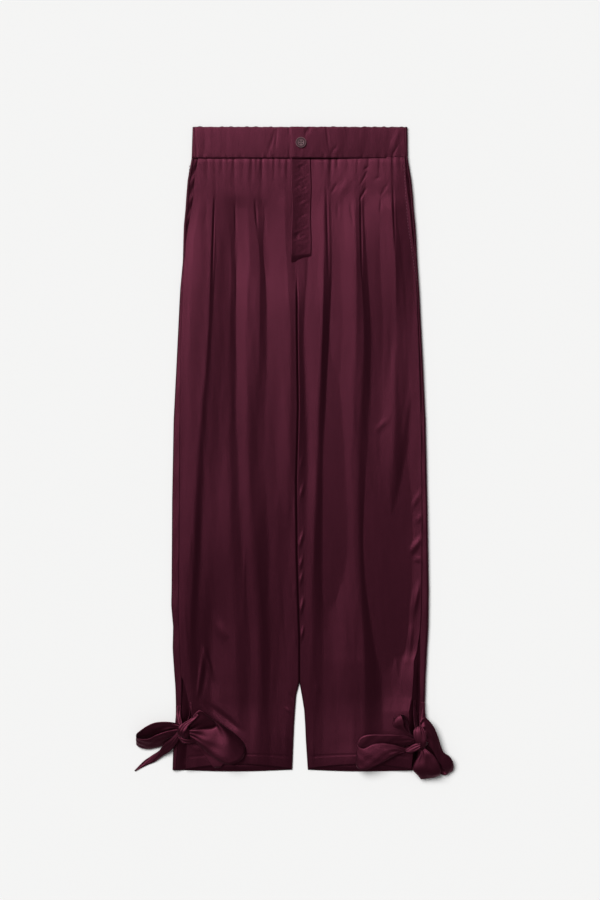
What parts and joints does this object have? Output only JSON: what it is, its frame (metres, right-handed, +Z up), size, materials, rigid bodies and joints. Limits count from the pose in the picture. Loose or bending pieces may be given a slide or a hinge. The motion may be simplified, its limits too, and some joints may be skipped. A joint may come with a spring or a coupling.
{
  "type": "satin trousers",
  "caption": "Wide satin trousers laid out flat, with an elasticated waistband, buttoned front, stitched pleats, side pockets and ankle slits tied in bows.",
  "frame": {"origin": "under the middle of the laid-out garment, on the surface that it lies on", "axes": "+X to the viewer's right, +Y from the hems to the waist, +Z up out of the front of the garment"},
  "size_m": [0.5112, 1.0446, 0.0251],
  "materials": {
    "satin": "plum-red satin with a soft sheen",
    "ribbon": "self-fabric satin ties",
    "button": "dark plum four-hole button"
  },
  "bodies": {
    "root": {"waistband_back": "satin", "waistband_front_left": "satin", "waistband_front_right": "satin", "back_panel_left": "satin", "back_panel_right": "satin", "front_panel_left": "satin", "front_panel_right": "satin", "pocket_facing_left": "satin", "pocket_facing_right": "satin", "fly_placket": "satin", "button": "button", "left_bow_knot": "ribbon", "left_bow_loop_outer": "ribbon", "left_bow_loop_inner": "ribbon", "left_bow_tail_outer": "ribbon", "left_bow_tail_inner": "ribbon", "left_bow_band_front": "ribbon", "left_bow_band_back": "ribbon", "right_bow_knot": "ribbon", "right_bow_loop_outer": "ribbon", "right_bow_loop_inner": "ribbon", "right_bow_tail_outer": "ribbon", "right_bow_tail_inner": "ribbon", "right_bow_band_front": "ribbon", "right_bow_band_back": "ribbon"}
  },
  "joints": []
}
